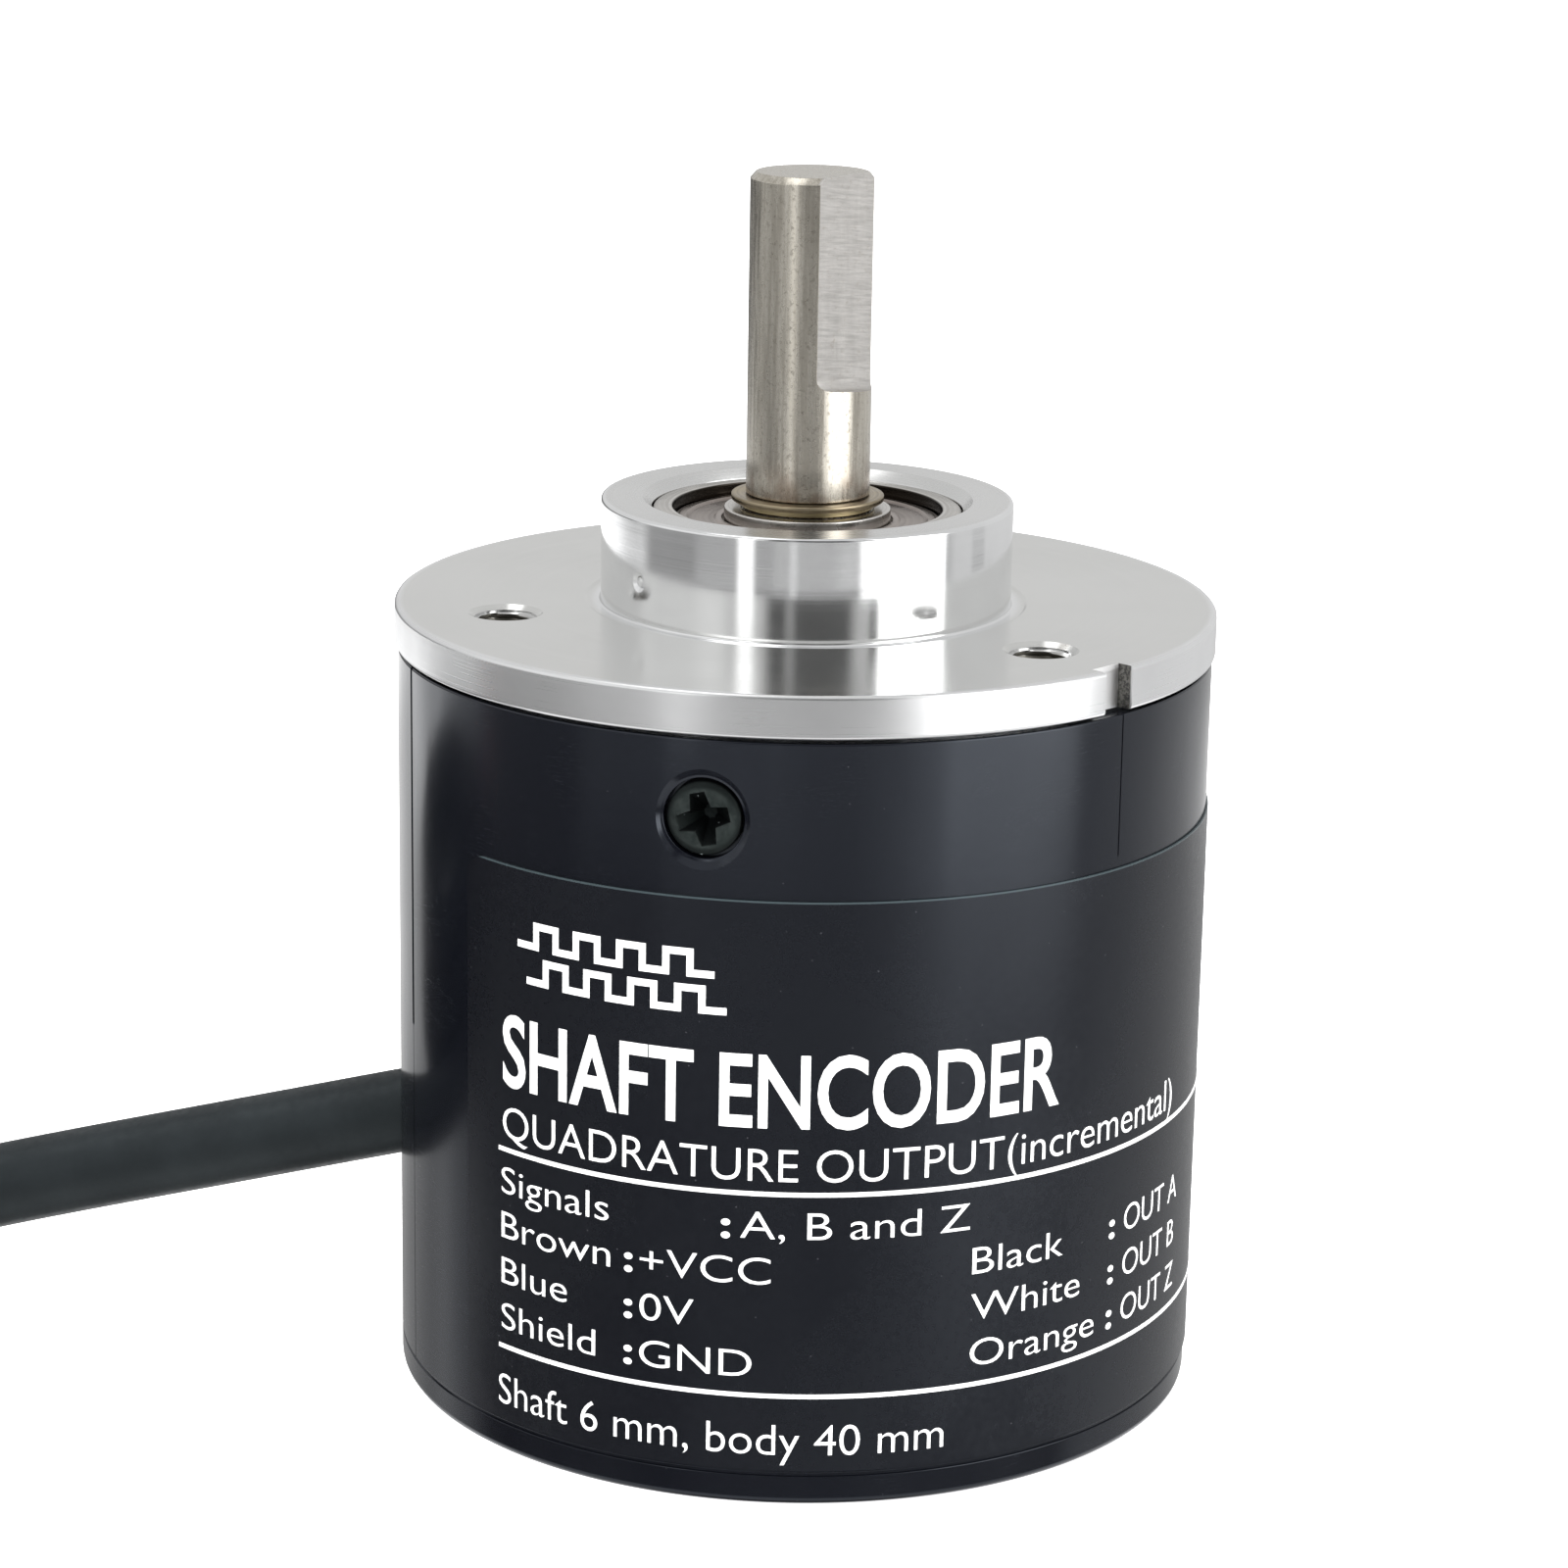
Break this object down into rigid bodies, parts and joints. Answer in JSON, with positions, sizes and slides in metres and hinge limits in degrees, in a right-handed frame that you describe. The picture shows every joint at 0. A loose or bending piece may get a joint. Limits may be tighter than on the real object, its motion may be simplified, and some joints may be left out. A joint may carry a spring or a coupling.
{
  "type": "rotary encoder",
  "caption": "Round shaft encoder: aluminium flange with pilot boss, D-cut shaft in two ball bearings, black cover with a code disc and pickup inside, and a side cable.",
  "frame": {"origin": "middle of the cover's flat base, on the shaft's axis", "axes": "+Z along the shaft, out of the mounting flange; -X is the side where the cable leaves; the front, with the label, faces -Y"},
  "size_m": [0.1222, 0.0631, 0.0597],
  "materials": {
    "cast_aluminium": "matt cast face with turned rim and boss",
    "cover_plastic": "satin black",
    "label_film": "satin black film with white print",
    "black_screw": "black oxide",
    "bearing_steel": "ground",
    "shield_steel": "pressed sheet",
    "shaft_steel": "ground, with a milled flat",
    "spring_steel": "tempered, brown tint",
    "brass": "plain",
    "code_glass": "clear with a chrome code track",
    "circuit_board": "green solder mask",
    "chip_plastic": "matt moulding",
    "led_plastic": "clear blue tint",
    "connector_nylon": "natural nylon",
    "black_rubber": "matt",
    "cable_jacket": "satin PVC",
    "lead_brown": "PVC insulation",
    "lead_blue": "PVC insulation",
    "lead_black": "PVC insulation",
    "lead_white": "PVC insulation",
    "lead_orange": "PVC insulation",
    "shield_braid": "twisted tinned wire"
  },
  "bodies": {
    "housing": {"flange_housing": "cast_aluminium", "rear_cover": "cover_plastic", "name_label": "label_film", "cover_screw_1": "black_screw", "cover_screw_2": "black_screw", "cover_screw_3": "black_screw", "front_bearing_outer_ring": "bearing_steel", "front_bearing_front_shield": "shield_steel", "front_bearing_rear_shield": "shield_steel", "rear_bearing_outer_ring": "bearing_steel", "rear_bearing_front_shield": "shield_steel", "rear_bearing_rear_shield": "shield_steel", "preload_washer": "spring_steel", "main_board": "circuit_board", "board_screw_1": "bearing_steel", "board_screw_2": "bearing_steel", "board_screw_3": "bearing_steel", "led_holder": "chip_plastic", "led_emitter": "led_plastic", "photo_sensor": "chip_plastic", "reticle_plate": "code_glass", "board_connector": "connector_nylon", "inner_leads": "connector_nylon", "cable_grommet": "black_rubber", "cable": "cable_jacket", "cable_coil": "cable_jacket", "coil_tie": "black_rubber", "lead_brown": "lead_brown", "lead_blue": "lead_blue", "lead_black": "lead_black", "lead_white": "lead_white", "lead_orange": "lead_orange", "lead_shield": "shield_braid"},
    "shaft_assembly": {"shaft": "shaft_steel", "retaining_clip": "spring_steel", "shim_washer": "brass", "bearing_spacer": "shaft_steel", "front_bearing_inner_ring": "bearing_steel", "rear_bearing_inner_ring": "bearing_steel", "disc_hub": "cast_aluminium", "hub_set_screw": "black_screw", "code_disc": "code_glass", "disc_clamp": "brass"},
    "front_ball_cage": {"front_bearing_cage": "brass", "front_bearing_ball_1": "bearing_steel", "front_bearing_ball_2": "bearing_steel", "front_bearing_ball_3": "bearing_steel", "front_bearing_ball_4": "bearing_steel", "front_bearing_ball_5": "bearing_steel", "front_bearing_ball_6": "bearing_steel", "front_bearing_ball_7": "bearing_steel"},
    "rear_ball_cage": {"rear_bearing_cage": "brass", "rear_bearing_ball_1": "bearing_steel", "rear_bearing_ball_2": "bearing_steel", "rear_bearing_ball_3": "bearing_steel", "rear_bearing_ball_4": "bearing_steel", "rear_bearing_ball_5": "bearing_steel", "rear_bearing_ball_6": "bearing_steel", "rear_bearing_ball_7": "bearing_steel"}
  },
  "joints": [
    {"name": "shaft_spin", "type": "hinge", "parent": "housing", "child": "shaft_assembly", "pos_m": [0, 0, 0.044], "axis": [0, 0, 1], "continuous": true},
    {"name": "front_cage_spin", "type": "hinge", "parent": "housing", "child": "front_ball_cage", "pos_m": [0, 0, 0.04105], "axis": [0, 0, 1], "continuous": true},
    {"name": "rear_cage_spin", "type": "hinge", "parent": "housing", "child": "rear_ball_cage", "pos_m": [0, 0, 0.0327], "axis": [0, 0, 1], "continuous": true}
  ],
  "couplings": [
    {"joint": "front_cage_spin", "follows": "shaft_spin", "ratio": 0.3886},
    {"joint": "rear_cage_spin", "follows": "shaft_spin", "ratio": 0.3886}
  ]
}
